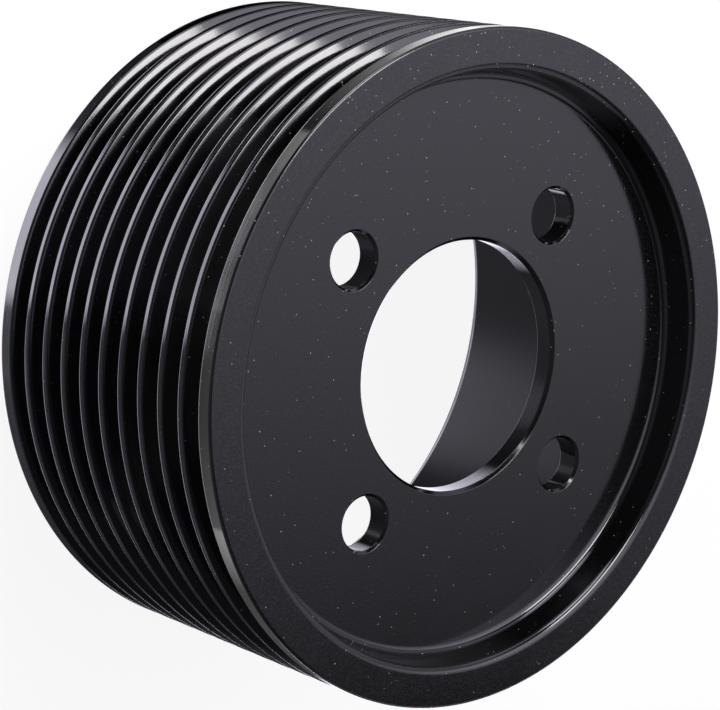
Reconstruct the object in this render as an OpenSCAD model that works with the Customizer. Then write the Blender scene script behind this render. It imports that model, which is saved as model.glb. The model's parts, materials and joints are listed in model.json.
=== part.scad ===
// Ribbed belt pulley, turned from one piece of aluminium: a hollow rim with V grooves, a web set
// back from the front face, a centre bore and a circle of bolt holes.
// The axis is +Z. The front face looks up, and the open rear rim stands on z = 0.

/* [Rim] */
// Diameter over the flanges and the rib crests
outer_d = 76.2; // [68:0.1:120]
// Width of the plain land outside the first and the last groove
land_w = 2.03; // [1.2:0.01:6]
// Rounding of the two outer edges of the rim
edge_r = 0.3; // [0.1:0.05:0.8]
// Metal between the groove roots and the rear cavity
rim_wall = 1.4; // [1:0.1:4]

/* [Grooves] */
// Number of V grooves
groove_count = 10; // [4:1:16]
// Spacing of the grooves along the axis
groove_pitch = 3.56; // [3.4:0.01:4.7]
// Width of a groove where its flanks meet the outer diameter
groove_w = 2.75; // [2.3:0.05:3]
// Angle between the two flanks of a groove
groove_angle = 40; // [36:1:44]
// Radius at the bottom of a groove
root_r = 0.4; // [0.2:0.05:0.6]
// Radius on the two corners of a crest
crest_r = 0.25; // [0.1:0.05:0.3]

/* [Front recess] */
// Radial width of the front rim face, measured to the sharp corner of the recess
rim_face_w = 4.6; // [3.8:0.1:7]
// Depth of the web's front face below the rim face
recess_h = 4.07; // [2.5:0.01:8]
// Slope of the recess wall from the axis
recess_draft = 10; // [0:1:20]
// Rounding of the recess lip
lip_r = 0.9; // [0.2:0.1:1.5]
// Fillet between the recess wall and the web
recess_fillet_r = 0.9; // [0.2:0.1:1.5]

/* [Web] */
// Thickness of the web
web_t = 2.8; // [2:0.1:8]

/* [Bore] */
// Diameter of the centre bore
bore_d = 28.5; // [10:0.1:32]
// Chamfer on the front edge of the bore
bore_front_chamfer = 0.4; // [0.1:0.05:0.8]
// Chamfer on the rear edge of the bore
bore_rear_chamfer = 0.35; // [0.1:0.05:0.8]

/* [Bolt holes] */
// Number of bolt holes
bolt_count = 4; // [3:1:8]
// Diameter of the circle through the hole centres
bolt_circle_d = 41.8; // [38:0.1:46]
// Diameter of a bolt hole
bolt_d = 6.2; // [4:0.1:8]
// Chamfer on the front edge of a bolt hole
bolt_chamfer = 0.3; // [0.1:0.05:0.6]
// Angle of the first hole from +X
bolt_turn = 45; // [0:1:90]

/* [Rear cavity] */
// Fillet between the web and the cavity wall
cavity_fillet_r = 1.5; // [0.5:0.1:3]
// Rounding of the cavity's rear lip
cavity_lip_r = 1.2; // [0.2:0.1:2]

/* [Hidden] */
$fn = 144;

// How far a cutting shape runs past the face that it opens through
cut_over = 1;

outer_r = outer_d / 2;
bore_r = bore_d / 2;
bolt_r = bolt_d / 2;
width = 2 * land_w + (groove_count - 1) * groove_pitch + groove_w;

// Heights of the web, from the rear rim up
web_top = width - recess_h;
web_bottom = web_top - web_t;

// V groove: its flanks would meet at groove_sharp below the outer diameter, and the root arc
// that touches both flanks has its centre at root_x
flank_angle = groove_angle / 2;
groove_sharp = groove_w / 2 / tan(flank_angle);
root_x = outer_r - groove_sharp + root_r / sin(flank_angle);
groove_depth = outer_r - (root_x - root_r);

// Sharp corners of the recess wall, and the radius of the cavity under the groove roots
recess_r = outer_r - rim_face_w;
recess_floor_r = recess_r - recess_h * tan(recess_draft);
cavity_r = outer_r - groove_depth - rim_wall;

function heading(angle) = [cos(angle), sin(angle)];

// The sliver between a sharp corner, whose edges leave it at angles from and to, and the arc of
// radius r that touches both edges. Cut away it rounds a corner, and left standing it is a fillet.
module corner_sliver(corner, from, to, r) {
    half = (to - from) / 2;
    run = r / tan(half);
    centre = corner + r / sin(half) * heading(from + half);
    difference() {
        polygon([corner, corner + run * heading(from), centre, corner + run * heading(to)]);
        translate(centre) circle(r = r);
    }
}

// One groove in the lathe plane, x outwards and y along the axis, centred on y = 0
module groove_cut() {
    touch = root_r * [-sin(flank_angle), cos(flank_angle)];
    mouth = groove_w / 2 + cut_over * tan(flank_angle);
    polygon([
        [outer_r + cut_over, mouth],
        [root_x + touch[0], touch[1]],
        [root_x + touch[0], -touch[1]],
        [outer_r + cut_over, -mouth]
    ]);
    translate([root_x, 0]) circle(r = root_r);
    for (side = [0, 1])
        mirror([0, side])
            corner_sliver([outer_r, groove_w / 2], 90, 180 + flank_angle, crest_r);
}

// Front recess: a shallow dish with a sloped wall, its foot filleted and its lip rounded
module recess_cut() {
    wall = 90 - recess_draft;
    difference() {
        polygon([
            [0, web_top],
            [recess_floor_r, web_top],
            [recess_r, width],
            [recess_r, width + cut_over],
            [0, width + cut_over]
        ]);
        corner_sliver([recess_floor_r, web_top], wall, 180, recess_fillet_r);
    }
    corner_sliver([recess_r, width], wall + 180, 360, lip_r);
}

// Rear cavity: a straight cup that is open at the rear rim
module cavity_cut() {
    difference() {
        translate([0, -cut_over]) square([cavity_r, web_bottom + cut_over]);
        corner_sliver([cavity_r, web_bottom], 180, 270, cavity_fillet_r);
    }
    corner_sliver([cavity_r, 0], 0, 90, cavity_lip_r);
}

// Bevel on an edge of the bore at height z, where way is 1 for a front edge and -1 for a rear one
module bore_bevel(z, way, size) {
    polygon([[bore_r, z], [bore_r + size, z], [bore_r, z - way * size]]);
}

// The section that is turned about the axis
module turned_section() {
    difference() {
        translate([bore_r, 0]) square([outer_r - bore_r, width]);
        for (i = [0 : groove_count - 1])
            translate([0, land_w + groove_w / 2 + i * groove_pitch]) groove_cut();
        recess_cut();
        cavity_cut();
        bore_bevel(web_top, 1, bore_front_chamfer);
        bore_bevel(web_bottom, -1, bore_rear_chamfer);
        corner_sliver([outer_r, width], 180, 270, edge_r);
        corner_sliver([outer_r, 0], 90, 180, edge_r);
    }
}

// A bolt hole through the web, with its front edge chamfered
module bolt_hole() {
    bevel = bolt_chamfer + cut_over;
    translate([0, 0, web_bottom - cut_over]) cylinder(r = bolt_r, h = web_t + 2 * cut_over);
    translate([0, 0, web_top - bolt_chamfer]) cylinder(r1 = bolt_r, r2 = bolt_r + bevel, h = bevel);
}

module pulley() {
    color("#2a2a2d")
        difference() {
            rotate_extrude() turned_section();
            for (i = [0 : bolt_count - 1])
                rotate(bolt_turn + i * 360 / bolt_count)
                    translate([bolt_circle_d / 2, 0, 0])
                        bolt_hole();
        }
}

pulley();
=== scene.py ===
import json
import math

import bpy
import numpy as np
from mathutils import Matrix, Vector


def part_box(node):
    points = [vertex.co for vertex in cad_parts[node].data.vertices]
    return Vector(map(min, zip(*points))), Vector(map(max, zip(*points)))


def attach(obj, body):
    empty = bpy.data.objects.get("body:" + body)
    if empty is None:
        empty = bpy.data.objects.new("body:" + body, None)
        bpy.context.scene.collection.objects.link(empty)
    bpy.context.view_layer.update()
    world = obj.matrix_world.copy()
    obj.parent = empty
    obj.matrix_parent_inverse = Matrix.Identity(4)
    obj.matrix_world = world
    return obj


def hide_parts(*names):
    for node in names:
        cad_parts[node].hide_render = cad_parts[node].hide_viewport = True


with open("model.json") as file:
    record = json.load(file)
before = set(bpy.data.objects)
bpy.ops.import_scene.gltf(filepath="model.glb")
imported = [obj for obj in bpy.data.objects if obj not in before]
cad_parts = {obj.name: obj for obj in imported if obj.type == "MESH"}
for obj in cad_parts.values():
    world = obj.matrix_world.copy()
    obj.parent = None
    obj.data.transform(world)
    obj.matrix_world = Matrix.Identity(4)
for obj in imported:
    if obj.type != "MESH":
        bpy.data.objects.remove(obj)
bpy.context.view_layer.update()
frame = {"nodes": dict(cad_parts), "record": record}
mounts = {m["name"]: m for m in frame["record"]["mounts"]}
mm = 0.001
print("frame loaded:", sorted(frame["nodes"]))


# sRGB hex to the linear colour that sockets take
def linearColour(hexValue):
    srgb = np.array([int(hexValue[i:i + 2], 16) for i in (1, 3, 5)]) / 255
    linear = np.where(srgb <= 0.04045, srgb / 12.92, ((srgb + 0.055) / 1.055) ** 2.4)
    return (*linear.tolist(), 1.0)


# adds a node, sets its properties, fills its sockets with values and links the rest
def addNode(tree, kind, settings=None, inputs=None):
    node = tree.nodes.new(kind)
    for key, value in (settings or {}).items():
        setattr(node, key, value)
    for key, value in (inputs or {}).items():
        if isinstance(value, bpy.types.NodeSocket):
            tree.links.new(value, node.inputs[key])
        else:
            node.inputs[key].default_value = value
    return node


pulleyShape = dict(  # millimetres, as turned; the radii and heights below follow the CAD frame
    landWidth=2.03,
    edgeRound=0.3,
    groovePitch=3.56,
    grooveCount=10,
    grooveWidth=2.75,
    grooveAngle=40,
    rootRound=0.4,
    crestRound=0.25,
    rimFace=4.6,
    recessDepth=4.07,
    recessDraft=10,
    lipRound=0.9,
    recessFillet=0.9,
    rimWall=1.4,
    cavityFillet=1.5,
    cavityLip=1.2,
    boreFrontChamfer=0.4,
    boreRearChamfer=0.35,
    boltChamfer=0.3,
    edgeBreak=0.06,  # the tiny radius that anodising leaves on a chamfer's edges
    support=0.03,  # loop beside each arc, so that flats stay flat in smooth shading
    margin=0.1,  # flat left between an arc and the web's sectors
    edgeSteps=6,  # steps along each kind of arc
    crestSteps=5,
    rootSteps=8,
    recessSteps=10,
    cavitySteps=8,
    breakSteps=3,
    turns=240,  # steps round the axis, a multiple of four
    spokes=12,  # steps along a web sector's straight sides
    weldGrid=1e4,  # to the millimetre: points that agree to a tenth of a micron are one point
)


# open chain of corners (x, y, radius, steps): each inner corner becomes the arc that touches both
# its edges, centred on their bisector, with a support point on the edge before it and after it
def roundedChain(corners, support):
    corners = np.array(corners, float)
    chain = [corners[:1, :2]]
    for before, corner, after in zip(corners[:-2], corners[1:-1], corners[2:]):
        toBefore = (before - corner)[:2] / np.linalg.norm((before - corner)[:2])
        toAfter = (after - corner)[:2] / np.linalg.norm((after - corner)[:2])
        half = math.acos(np.clip(toBefore @ toAfter, -1, 1)) / 2
        radius, steps = corner[2], int(corner[3])
        bisector = (toBefore + toAfter) / np.linalg.norm(toBefore + toAfter)
        centre = corner[:2] + bisector * radius / math.sin(half)
        start = corner[:2] + toBefore * radius / math.tan(half)
        end = corner[:2] + toAfter * radius / math.tan(half)
        first = math.atan2(*(start - centre)[::-1])
        sweep = math.atan2(*(end - centre)[::-1]) - first
        sweep = (sweep + math.pi) % (2 * math.pi) - math.pi
        angles = first + sweep * np.linspace(0, 1, steps + 1)
        arc = centre + radius * np.stack([np.cos(angles), np.sin(angles)], 1)
        chain += [[start + toBefore * support], arc, [end + toAfter * support]]
    chain.append(corners[-1:, :2])
    return np.concatenate(chain)


# quads between consecutive rows of a grid of vertex numbers, closed along the columns
def ringQuads(grid):
    here, there = grid[:-1], grid[1:]
    return np.stack([here, np.roll(here, -1, 1), np.roll(there, -1, 1), there], -1).reshape(-1, 4)


# profile (radius, height) carried round the axis at the given angles, about a centre in plan
def revolve(profile, angles, centre=(0, 0)):
    x = centre[0] + profile[:, :1] * np.cos(angles)
    y = centre[1] + profile[:, :1] * np.sin(angles)
    z = np.broadcast_to(profile[:, 1:], x.shape)
    return np.stack([x, y, z], -1)


# the whole turned piece as one closed surface: an outer chain and a bore chain carried round the
# axis, a chain round each bolt hole, and flat web sectors that run from a hole's ring to the sector's edge
def pulleySurface():
    s = pulleyShape
    low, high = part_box("pulley")
    outer, width = high.x / mm, (high.z - low.z) / mm
    bore = mounts["bore"]["dims"]["r_mm"]
    bolts = mounts["bolt_circle"]["dims"]
    hole, circle = bolts["hole_r_mm"], bolts["pcd_mm"] / 2
    webTop = mounts["bolt_head_seat"]["pos_m"][2] / mm
    webBottom = mounts["hub_seat"]["pos_m"][2] / mm
    flank = math.radians(s["grooveAngle"] / 2)
    sharp = s["grooveWidth"] / 2 / math.tan(flank)
    depth = sharp - s["rootRound"] * (1 / math.sin(flank) - 1)
    recess = outer - s["rimFace"]
    floor = recess - s["recessDepth"] * math.tan(math.radians(s["recessDraft"]))
    cavity = outer - depth - s["rimWall"]
    margin = s["margin"]
    edge = (s["edgeRound"], s["edgeSteps"])
    crest = (s["crestRound"], s["crestSteps"])
    root = (s["rootRound"], s["rootSteps"])
    tiny = (s["edgeBreak"], s["breakSteps"])

    groove = s["grooveWidth"] / 2
    middles = width - s["landWidth"] - groove - s["groovePitch"] * np.arange(s["grooveCount"])
    ribs = [row for z in middles for row in (
        (outer, z + groove, *crest),
        (outer - sharp, z, *root),
        (outer, z - groove, *crest))]
    webEdge = floor - s["recessFillet"] - margin
    webRearEdge = cavity - s["cavityFillet"] - margin
    outside = roundedChain([
        (webEdge, webTop, 0, 0),
        (floor, webTop, s["recessFillet"], s["recessSteps"]),
        (recess, width, s["lipRound"], s["recessSteps"]),
        (outer, width, *edge),
        *ribs,
        (outer, 0, *edge),
        (cavity, 0, s["cavityLip"], s["cavitySteps"]),
        (cavity, webBottom, s["cavityFillet"], s["cavitySteps"]),
        (webRearEdge, webBottom, 0, 0)], s["support"])
    front, rear = s["boreFrontChamfer"], s["boreRearChamfer"]
    inside = roundedChain([
        (bore + front + margin, webTop, 0, 0),
        (bore + front, webTop, *tiny),
        (bore, webTop - front, *tiny),
        (bore, webBottom + rear, *tiny),
        (bore + rear, webBottom, *tiny),
        (bore + rear + margin, webBottom, 0, 0)], s["support"])
    bevel = s["boltChamfer"]
    drilled = roundedChain([
        (hole + bevel + margin, webTop, 0, 0),
        (hole + bevel, webTop, *tiny),
        (hole, webTop - bevel, *tiny),
        (hole, webBottom, *tiny),
        (hole + margin, webBottom, 0, 0)], s["support"])

    # one sector's edge as (radius, angle): out along the rim, in along a spoke, back along the bore
    quarter = s["turns"] // 4
    sweep = np.linspace(0, math.pi / 2, quarter + 1)
    spoke = np.linspace(0, 1, s["spokes"] + 1)[1:-1]
    share = np.concatenate([np.ones(quarter + 1), 1 - spoke, np.zeros(quarter + 1), spoke])
    turn = np.concatenate([sweep, np.full(spoke.size, math.pi / 2), sweep[::-1], np.zeros(spoke.size)])

    def sectorEdge(inner, rim, z):
        r = inner + (rim - inner) * share
        return np.stack([r * np.cos(turn), r * np.sin(turn), np.full(r.size, z)], -1)

    frontEdge = sectorEdge(inside[0, 0], outside[0, 0], webTop)
    rearEdge = sectorEdge(inside[-1, 0], outside[-1, 0], webBottom)
    centre = circle * np.array([math.cos(math.pi / 4), math.sin(math.pi / 4)])
    headings = np.arctan2(frontEdge[:, 1] - centre[1], frontEdge[:, 0] - centre[0])
    holeWall = revolve(drilled, headings, centre)
    sector = np.concatenate([frontEdge[None], holeWall, rearEdge[None]])

    points, quads, count = [], [], 0
    fullTurn = np.linspace(0, 2 * math.pi, s["turns"], endpoint=False)
    grids = [revolve(outside, fullTurn)[::-1], revolve(inside, fullTurn)]
    for cosine, sine in ((1, 0), (0, 1), (-1, 0), (0, -1)):  # the sector in its four quarter turns
        grids.append(sector @ np.array([[cosine, sine, 0], [-sine, cosine, 0], [0, 0, 1]]))
    for grid in grids:
        numbers = count + np.arange(grid.shape[0] * grid.shape[1]).reshape(grid.shape[:2])
        points.append(grid.reshape(-1, 3))
        quads.append(ringQuads(numbers))
        count += numbers.size
    points, quads = np.concatenate(points), np.concatenate(quads)
    # weld the shared edges
    places = np.round(points * s["weldGrid"]).astype(np.int64)
    firstOf, weld = np.unique(places, axis=0, return_index=True, return_inverse=True)[1:]
    return points[firstOf] * mm, weld.reshape(-1)[quads]


def addPulley():
    points, quads = pulleySurface()
    mesh = bpy.data.meshes.new("pulleyTurned")
    mesh.from_pydata(points.tolist(), [], quads.tolist())
    mesh.polygons.foreach_set("use_smooth", np.ones(len(mesh.polygons), bool))
    mesh.update()
    piece = bpy.data.objects.new("pulleyTurned", mesh)
    bpy.context.collection.objects.link(piece)
    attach(piece, "root")
    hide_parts("pulley")
    print("pulley:", len(points), "points,", len(quads), "quads")
    return piece


anodisedLook = dict(  # millimetres
    dyed="#040404",
    dyedPale="#080808",
    inside="#0d0c0b",  # the cup, which is less finely turned and has a duller layer
    pores="#232325",  # the paler points that the layer's grain shows on the flat faces
    dust="#b4b3ae",
    ior=1.77,  # aluminium oxide
    polished=0.075,  # roughness of the smoothest and the dullest patches, of the cup and of dust
    dull=0.13,
    insideDull=0.2,
    dusty=0.9,
    patch=5,
    patchShare=(0.35, 0.7),  # between these values of the patches the layer goes from smooth to dull
    patchDetail=4,
    grain=0.19,  # the layer's own grain is a tenth of this: drawn coarser, so that it shows
    grainHeight=0.0012,
    grainDetail=1,
    grainCoarse=4,  # times that height on the flat faces
    poreShare=(0.45, 0.7),  # between these values of the grain the paler points come up
    feed=0.16,  # the tool's real advance is about half of this: drawn coarser, so that it shows
    feedHeight=0.001,
    feedDetail=2,
    feedCoarse=2,  # times that height on the plain lands
    feedBore=5,  # and in the bore
    speck=0.27,  # spacing of the places where a speck of dust can lie
    speckSize=(0.36, 0.18),  # in spacings: where a speck ends and where it is solid
    speckShare=(0.988, 0.95),  # the share of places left clean, on the cleaner and on the dustier side
    speckBehind=0.25,  # how strong dust is behind the web, where it is 1 in front
    cupRadius=34.4,
    cupTop=31.95,
    skin=0.04,  # how far in from a turned wall its own finish reaches
)


# black anodised aluminium, turned: a dyed oxide layer that is near black by itself, so it takes its greys
# from what it mirrors, a little blurred. Close up it shows the layer's fine grain, rings left by the tool,
# coarser on the bore and on the plain lands, duller patches, and a few pale specks of dust on the +Y side
def anodisedAluminium():
    a = anodisedLook
    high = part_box("pulley")[1]
    bore = mounts["bore"]["dims"]["r_mm"]
    webTop = mounts["bolt_head_seat"]["pos_m"][2]
    webBottom = mounts["hub_seat"]["pos_m"][2]
    material = bpy.data.materials.new("blackAnodisedAluminium")
    material.use_nodes = True
    tree = material.node_tree
    shader = tree.nodes["Principled BSDF"]
    shader.inputs["IOR"].default_value = a["ior"]
    multiply = dict(operation="MULTIPLY")
    greater = dict(operation="GREATER_THAN")
    less = dict(operation="LESS_THAN")
    colours = dict(data_type="RGBA")
    place = addNode(tree, "ShaderNodeTexCoord").outputs["Object"]
    axes = addNode(tree, "ShaderNodeSeparateXYZ", None, {0: place})
    plan = addNode(tree, "ShaderNodeCombineXYZ", None, {"X": axes.outputs["X"], "Y": axes.outputs["Y"]})
    radius = addNode(tree, "ShaderNodeVectorMath", dict(operation="LENGTH"), {0: plan.outputs[0]})
    radius = radius.outputs["Value"]

    # the lands lie at the outer radius, further than the grooves from the middle height
    height = addNode(tree, "ShaderNodeMath", dict(operation="SUBTRACT"),
                     {0: axes.outputs["Z"], 1: high.z / 2})
    height = addNode(tree, "ShaderNodeMath", dict(operation="ABSOLUTE"), {0: height.outputs[0]})
    ends = addNode(tree, "ShaderNodeMath", greater,
                   {0: height.outputs[0], 1: high.z / 2 - pulleyShape["landWidth"] * mm})
    outside = addNode(tree, "ShaderNodeMath", greater,
                      {0: radius, 1: high.x - a["skin"] * mm})
    land = addNode(tree, "ShaderNodeMath", multiply, {0: ends.outputs[0], 1: outside.outputs[0]})
    inBore = addNode(tree, "ShaderNodeMath", less, {0: radius, 1: (bore + a["skin"]) * mm})
    rimFace = addNode(tree, "ShaderNodeMath", greater,
                      {0: axes.outputs["Z"], 1: high.z - a["skin"] * mm})
    webFace = addNode(tree, "ShaderNodeMath", dict(operation="COMPARE"),
                      {0: axes.outputs["Z"], 1: webTop, 2: a["skin"] * mm})
    flat = addNode(tree, "ShaderNodeMath", dict(operation="MAXIMUM"),
                   {0: rimFace.outputs[0], 1: webFace.outputs[0]})

    # rings: noise along one run, outwards on the faces and up the walls
    run = addNode(tree, "ShaderNodeMath", dict(operation="ADD"), {0: radius, 1: axes.outputs["Z"]})
    rings = addNode(tree, "ShaderNodeTexNoise", dict(noise_dimensions="1D"),
                    {"W": run.outputs[0], "Scale": 1 / (a["feed"] * mm), "Detail": a["feedDetail"]})
    cut = addNode(tree, "ShaderNodeMapRange", None,
                  {"Value": land.outputs[0], "To Min": 1, "To Max": a["feedCoarse"]})
    cut = addNode(tree, "ShaderNodeMath", dict(operation="MULTIPLY_ADD"),
                  {0: inBore.outputs[0], 1: a["feedBore"], 2: cut.outputs[0]})
    cut = addNode(tree, "ShaderNodeMath", multiply, {0: cut.outputs[0], 1: rings.outputs["Fac"]})
    grain = addNode(tree, "ShaderNodeTexNoise", None,
                    {"Vector": place, "Scale": 1 / (a["grain"] * mm), "Detail": a["grainDetail"]})
    bite = addNode(tree, "ShaderNodeMapRange", None,
                   {"Value": flat.outputs[0], "To Min": 1, "To Max": a["grainCoarse"]})
    bite = addNode(tree, "ShaderNodeMath", multiply, {0: bite.outputs[0], 1: grain.outputs["Fac"]})
    marks = addNode(tree, "ShaderNodeBump", None,
                    {"Strength": 1, "Distance": a["feedHeight"] * mm, "Height": cut.outputs[0]})
    surface = addNode(tree, "ShaderNodeBump", None,
                      {"Strength": 1, "Distance": a["grainHeight"] * mm, "Height": bite.outputs[0],
                       "Normal": marks.outputs[0]})

    patches = addNode(tree, "ShaderNodeTexNoise", None,
                      {"Vector": place, "Scale": 1 / (a["patch"] * mm), "Detail": a["patchDetail"]})
    worn = addNode(tree, "ShaderNodeMapRange", None, {
        "Value": patches.outputs["Fac"], "From Min": a["patchShare"][0], "From Max": a["patchShare"][1],
        "To Min": a["polished"], "To Max": a["dull"]})
    tone = addNode(tree, "ShaderNodeMix", colours, {  # sockets 6 and 7 take the colours
        0: patches.outputs["Fac"], 6: linearColour(a["dyed"]), 7: linearColour(a["dyedPale"])})

    points = addNode(tree, "ShaderNodeMapRange", None, {
        "Value": grain.outputs["Fac"], "From Min": a["poreShare"][0], "From Max": a["poreShare"][1]})
    points = addNode(tree, "ShaderNodeMath", multiply, {0: points.outputs[0], 1: flat.outputs[0]})
    tone = addNode(tree, "ShaderNodeMix", colours, {
        0: points.outputs[0], 6: tone.outputs[2], 7: linearColour(a["pores"])})

    # the cup behind the web
    within = addNode(tree, "ShaderNodeMath", less, {0: radius, 1: a["cupRadius"] * mm})
    under = addNode(tree, "ShaderNodeMath", less,
                    {0: axes.outputs["Z"], 1: a["cupTop"] * mm})
    cup = addNode(tree, "ShaderNodeMath", multiply, {0: within.outputs[0], 1: under.outputs[0]})
    tone = addNode(tree, "ShaderNodeMix", colours, {
        0: cup.outputs[0], 6: tone.outputs[2], 7: linearColour(a["inside"])})
    worn = addNode(tree, "ShaderNodeMix", None, {
        "Factor": cup.outputs[0], "A": worn.outputs[0], "B": a["insideDull"]})

    # dust: spheres at scattered points, cut by the surface, of which only a share is there
    dots = addNode(tree, "ShaderNodeTexVoronoi", None, {"Vector": place, "Scale": 1 / (a["speck"] * mm)})
    solid = addNode(tree, "ShaderNodeMapRange", None, {
        "Value": dots.outputs["Distance"], "From Min": a["speckSize"][0], "From Max": a["speckSize"][1]})
    chance = addNode(tree, "ShaderNodeSeparateColor", None, {0: dots.outputs["Color"]})
    clean = addNode(tree, "ShaderNodeMapRange", None, {
        "Value": axes.outputs["Y"], "From Min": 0, "From Max": high.y,
        "To Min": a["speckShare"][0], "To Max": a["speckShare"][1]})
    there = addNode(tree, "ShaderNodeMath", greater,
                    {0: chance.outputs[0], 1: clean.outputs[0]})
    dust = addNode(tree, "ShaderNodeMath", multiply, {0: solid.outputs[0], 1: there.outputs[0]})
    dust = addNode(tree, "ShaderNodeMath", multiply, {0: dust.outputs[0], 1: chance.outputs[1]})
    front = addNode(tree, "ShaderNodeMapRange", None, {
        "Value": axes.outputs["Z"], "From Min": webBottom, "From Max": webTop, "To Min": a["speckBehind"]})
    dust = addNode(tree, "ShaderNodeMath", multiply, {0: dust.outputs[0], 1: front.outputs[0]})
    colour = addNode(tree, "ShaderNodeMix", colours, {
        0: dust.outputs[0], 6: tone.outputs[2], 7: linearColour(a["dust"])})
    roughness = addNode(tree, "ShaderNodeMix", None, {
        "Factor": dust.outputs[0], "A": worn.outputs[0], "B": a["dusty"]})
    tree.links.new(colour.outputs[2], shader.inputs["Base Color"])
    tree.links.new(roughness.outputs[0], shader.inputs["Roughness"])
    tree.links.new(surface.outputs[0], shader.inputs["Normal"])
    print("material:", material.name, "of", len(tree.nodes), "nodes")
    return material


cameraView = dict(  # the photograph's view: millimetres and degrees, and the clip in metres
    aim=(-1.78, -0.99, 19.43),
    distance=299.6,
    azimuth=157.31,  # of the camera, from +X
    elevation=47.98,
    roll=-104.88,  # the picture's up, from upright towards the right
    lens=129.62,
    sensor=36,
    clip=(0.01, 20),
)


# where the camera is, and its right, up and back
def cameraFrame():
    c = cameraView
    azimuth, elevation, roll = (math.radians(c[k]) for k in ("azimuth", "elevation", "roll"))
    back = Vector((math.cos(elevation) * math.cos(azimuth), math.cos(elevation) * math.sin(azimuth),
                   math.sin(elevation)))
    levelRight = (-back).cross(Vector((0, 0, 1))).normalized()
    levelUp = levelRight.cross(-back)
    up = levelUp * math.cos(roll) + levelRight * math.sin(roll)
    right = (-back).cross(up)
    place = (Vector(c["aim"]) + back * c["distance"]) * mm
    return place, right, up, back


def addCamera():
    c = cameraView
    place, right, up, back = cameraFrame()
    data = bpy.data.cameras.new("photoView")
    data.sensor_fit = "HORIZONTAL"
    data.sensor_width = c["sensor"]
    data.lens = c["lens"]
    data.clip_start, data.clip_end = c["clip"]
    camera = bpy.data.objects.new("photoView", data)
    camera.matrix_world = Matrix.Translation(place) @ Matrix((right, up, back)).transposed().to_4x4()
    bpy.context.collection.objects.link(camera)
    bpy.context.scene.camera = camera
    print("camera:", [round(v / mm) for v in place], "mm")


floorLook = dict(  # sides in metres, brightness where white is 1
    side=3.0,
    colour="#f2f2f0",
    lit=0.15,  # the share that takes light and shadow where the camera sees the card
    glow=0.9,
)


# white card: matt and white. Straight to the camera it is the white ground with a light shadow, the metal
# mirrors the room's own pale ground instead, and from underneath the card is clear, so that the open cup
# can be looked into
def addFloor():
    f = floorLook
    half = f["side"] / 2
    corners = [(-half, -half, 0), (half, -half, 0), (half, half, 0), (-half, half, 0)]
    mesh = bpy.data.meshes.new("whiteCard")
    mesh.from_pydata(corners, [], [(0, 1, 2, 3)])
    floor = bpy.data.objects.new("whiteCard", mesh)
    floor.visible_glossy = False
    bpy.context.collection.objects.link(floor)
    material = bpy.data.materials.new("whiteCard")
    material.use_nodes = True
    tree = material.node_tree
    tree.nodes.clear()
    path = addNode(tree, "ShaderNodeLightPath")
    card = addNode(tree, "ShaderNodeBsdfDiffuse", None, {"Color": linearColour(f["colour"])})
    faint = addNode(tree, "ShaderNodeBsdfDiffuse", None, {"Color": (f["lit"], f["lit"], f["lit"], 1)})
    glow = addNode(tree, "ShaderNodeEmission", None, {"Strength": f["glow"]})
    ground = addNode(tree, "ShaderNodeAddShader", None, {0: faint.outputs[0], 1: glow.outputs[0]})
    shown = addNode(tree, "ShaderNodeMixShader", None,
                    {0: path.outputs["Is Camera Ray"], 1: card.outputs[0], 2: ground.outputs[0]})
    clear = addNode(tree, "ShaderNodeBsdfTransparent")
    side = addNode(tree, "ShaderNodeNewGeometry")
    below = addNode(tree, "ShaderNodeMixShader", None,
                    {0: side.outputs["Backfacing"], 1: shown.outputs[0], 2: clear.outputs[0]})
    addNode(tree, "ShaderNodeOutputMaterial", None, {"Surface": below.outputs[0]})
    mesh.materials.append(material)
    print("floor:", f["side"], "m square")


studioLights = dict(  # soft boxes: metres, what each is turned to, and brightness where white is 1
    overhead=dict(
        centre=(0.03, 0.142, 0.2),
        aim=(0.03, 0.142, 0),
        size=(0.14, 0.088),
        brightness=8,
        colour="#fffcfc",
    ),
)


def addLights():
    for name, box in studioLights.items():
        lamp = bpy.data.lights.new(name, "AREA")
        lamp.shape = "RECTANGLE"
        lamp.size, lamp.size_y = box["size"]
        # the watts that give that brightness
        lamp.energy = box["brightness"] * math.pi * lamp.size * lamp.size_y
        lamp.color = linearColour(box["colour"])[:3]
        softbox = bpy.data.objects.new(name, lamp)
        softbox.visible_camera = False
        centre = Vector(box["centre"])
        turned = (centre - Vector(box["aim"])).to_track_quat("Z", "Y").to_matrix().to_4x4()
        softbox.matrix_world = Matrix.Translation(centre) @ turned
        bpy.context.collection.objects.link(softbox)
    print("lights:", *studioLights)


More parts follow.
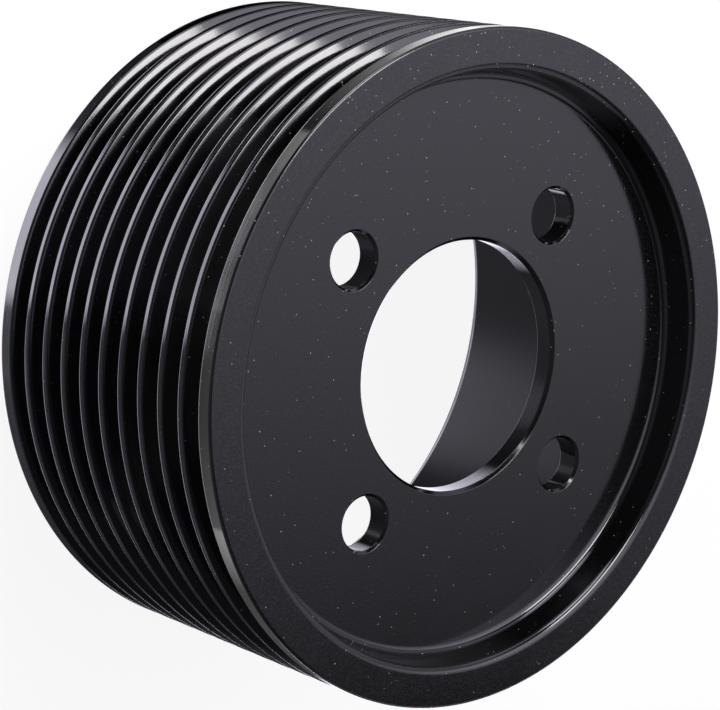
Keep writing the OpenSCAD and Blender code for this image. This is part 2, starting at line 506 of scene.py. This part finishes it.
# cards on the table that only the metal mirrors. Each lies where the outer wall mirrors it to the camera:
# seenBy names the heights on the wall that see it, in millimetres, and sweep is the heading of the mirrored
# light, in degrees from +X. Brightness, where white is 1, runs from its first value to its second
tableCards = dict(
    heights=dict(ribs=(0.4, 35.7), land=(35.7, 46)),  # the land's pass its top, for its rounded edge
    pieces=dict(
        # this black card is painted shade: it stands for the table's shadow beside the pulley, as the top
        # ribs mirror it
        ribsTopShade=dict(seenBy="ribs", sweep=(-60, 58), brightness=(0, 0)),
        landTop=dict(seenBy="land", sweep=(-20, 8), brightness=(1.1, 1.2)),
        landTopPale=dict(seenBy="land", sweep=(8, 30), brightness=(2.0, 2.15)),
        landTopEnd=dict(seenBy="land", sweep=(30, 48), brightness=(2.15, 0.9)),
        landDim=dict(seenBy="land", sweep=(48, 90.5), brightness=(0.75, 0.04)),
        landFront=dict(seenBy="land", sweep=(90.5, 107), brightness=(1.3, 1.25)),
        landFrontLow=dict(seenBy="land", sweep=(107, 147), brightness=(0.95, 0.55)),
        landFrontEnd=dict(seenBy="land", sweep=(147, 160), brightness=(0.6, 0.85)),
        landLeft=dict(seenBy="land", sweep=(160, 200), brightness=(0.4, 0.36)),
        landMiddle=dict(seenBy="land", sweep=(200, 237.5), brightness=(0.36, 0.6)),
        landCorner=dict(seenBy="land", sweep=(237.5, 262), brightness=(1.75, 0.3)),
        landBottom=dict(seenBy="land", sweep=(262, 312), brightness=(0.3, 0.08)),
    ),
    lift=0.3,  # above the floor
    steps=48,
)


# strips by the mirror law: what a wall point shows the camera comes from the heading that is twice the
# wall's angle less the camera's, and from as far out as the camera is in plan, times the point's height
# over the camera's height above the point
def addCards():
    t = tableCards
    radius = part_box("pulley")[1].x
    eye = cameraFrame()[0]
    material = bpy.data.materials.new("tableCard")
    material.use_nodes = True
    tree = material.node_tree
    tree.nodes.clear()
    shine = addNode(tree, "ShaderNodeAttribute", dict(attribute_name="shine"))
    glow = addNode(tree, "ShaderNodeEmission", None, {"Strength": shine.outputs["Fac"]})
    addNode(tree, "ShaderNodeOutputMaterial", None, {"Surface": glow.outputs[0]})
    first = np.arange(t["steps"] - 1)
    quads = np.stack([first, first + t["steps"], first + t["steps"] + 1, first + 1], 1)
    turn = np.radians(np.arange(0, 360))  # wall angles to look headings up in
    seenFrom = np.unwrap(np.arctan2(eye.y - radius * np.sin(turn), eye.x - radius * np.cos(turn)))
    for name, card in t["pieces"].items():
        heading = np.radians(np.linspace(*card["sweep"], t["steps"]))
        wall = np.interp(heading, 2 * turn - seenFrom, turn)
        x, y = radius * np.cos(wall), radius * np.sin(wall)
        height = np.array(t["heights"][card["seenBy"]])[:, None] * mm
        reach = np.hypot(eye.x - x, eye.y - y) * height / (eye.z - height)
        points = np.stack([x + reach * np.cos(heading), y + reach * np.sin(heading),
                           np.full(reach.shape, t["lift"] * mm)], -1).reshape(-1, 3)
        mesh = bpy.data.meshes.new(name)
        mesh.from_pydata(points.tolist(), [], quads.tolist())
        mesh.attributes.new("shine", "FLOAT", "POINT").data.foreach_set(
            "value", np.tile(np.linspace(*card["brightness"], t["steps"]), 2))
        mesh.materials.append(material)
        piece = bpy.data.objects.new(name, mesh)
        piece.visible_camera = False
        piece.visible_diffuse = False
        piece.visible_transmission = False
        piece.visible_shadow = False
        bpy.context.collection.objects.link(piece)
    print("cards:", len(t["pieces"]))


roomLook = dict(  # brightness where white is 1
    colour="#f0edff",
    dim=0.05,
    shown=1.0,  # straight to the camera
    # each glow: its brightness, and the ramps that it is cut from, as a heading and the cosines from it
    # between which the glow comes up
    glows=dict(
        paleSide=dict(brightness=2.0, ramps=[
            ((0.41, 0.65, 0.64), 0.43, 1), ((0, 0, 1), 0.56, 0.66), ((0.8, -0.35, 0.49), 0.05, 0.35)]),
        leftSide=dict(brightness=0.14, ramps=[((-0.95, -0.1, -0.3), 0.1, 0.7)]),
        ground=dict(brightness=0.85, ramps=[((0, 0, -1), 0.825, 0.86)]),
        bounceCard=dict(brightness=3.2, ramps=[
            ((-0.383, 0.321, -0.866), 0.9336, 0.956), ((-0.985, -0.174, 0), 0.06, 0.2),
            ((0, 0, -1), 0.762, 0.785), ((0, 0, 1), -0.91, -0.88)]),
        bounceFringe=dict(brightness=0.35, ramps=[
            ((-0.383, 0.321, -0.866), 0.9336, 0.956), ((-0.985, -0.174, 0), 0.06, 0.2),
            ((0, 0, -1), 0.66, 0.69)]),
        leftGround=dict(brightness=1.4, ramps=[
            ((-0.616, -0.788, 0), 0.15, 0.3), ((0, 0, -1), 0.828, 0.855)]),
        upperGround=dict(brightness=4.5, ramps=[
            ((0.087, 0.996, 0), 0.25, 0.36), ((0, 0, -1), 0.87, 0.9)]),
        farGround=dict(brightness=0.3, ramps=[
            ((0, 0, -1), 0.85, 0.88), ((-0.2, 0.98, 0), -0.1, 0.15)]),
        lowStrip=dict(brightness=2.4, ramps=[
            ((0.99, 0.139, 0), 0.33, 0.527), ((0, 0, -1), 0.64, 0.66), ((0, 0, 1), -0.742, -0.722)]),
        nearStrip=dict(brightness=4, ramps=[
            ((0.574, -0.819, 0), 0.6, 0.72), ((0, 0, -1), 0.58, 0.6), ((0, 0, 1), -0.712, -0.697)]),
        lowRoom=dict(brightness=0.25, ramps=[
            ((0.985, -0.174, 0), 0.35, 0.6), ((0, 0, 1), -0.52, -0.42), ((0, 0, -1), 0.02, 0.12)]),
        farSide=dict(brightness=0.45, ramps=[
            ((0.966, -0.259, 0), 0.25, 0.45), ((0, 0, 1), -0.12, -0.02), ((0, 0, -1), -0.66, -0.56)]),
        windowSide=dict(brightness=0.9, ramps=[
            ((0.304, 0.937, 0.174), 0.82, 0.978), ((0, 0, 1), -0.2, -0.1), ((0, 0, -1), -0.36, -0.2)]),
        window=dict(brightness=4, ramps=[((0.0348, 0.9956, 0.0872), 0.9455, 0.966)]),
    ),
)


# dim room with a pale side and a pale ground for the metal to mirror; straight to the camera it is white
def addWorld():
    r = roomLook
    world = bpy.data.worlds.new("studio")
    bpy.context.scene.world = world
    world.use_nodes = True
    tree = world.node_tree
    direction = addNode(tree, "ShaderNodeTexCoord").outputs["Generated"]
    room = r["dim"]
    for glow in r["glows"].values():
        lit = glow["brightness"]
        for heading, start, full in glow["ramps"]:
            facing = addNode(tree, "ShaderNodeVectorMath", dict(operation="DOT_PRODUCT"),
                             {0: direction, 1: heading})
            ramp = addNode(tree, "ShaderNodeMapRange", None,
                           {"Value": facing.outputs["Value"], "From Min": start, "From Max": full})
            lit = addNode(tree, "ShaderNodeMath", dict(operation="MULTIPLY"),
                          {0: lit, 1: ramp.outputs[0]}).outputs[0]
        room = addNode(tree, "ShaderNodeMath", dict(operation="ADD"), {0: lit, 1: room}).outputs[0]
    path = addNode(tree, "ShaderNodeLightPath")
    strength = addNode(tree, "ShaderNodeMix", None,
                       {"Factor": path.outputs["Is Camera Ray"], "A": room, "B": r["shown"]})
    tree.nodes["Background"].inputs["Color"].default_value = linearColour(r["colour"])
    tree.links.new(strength.outputs[0], tree.nodes["Background"].inputs["Strength"])
    print("room:", len(r["glows"]), "glows")


pulley = addPulley()
pulley.data.materials.append(anodisedAluminium())
addCamera()
addFloor()
addCards()
addLights()
addWorld()
bpy.context.scene.view_settings.view_transform = "Standard"
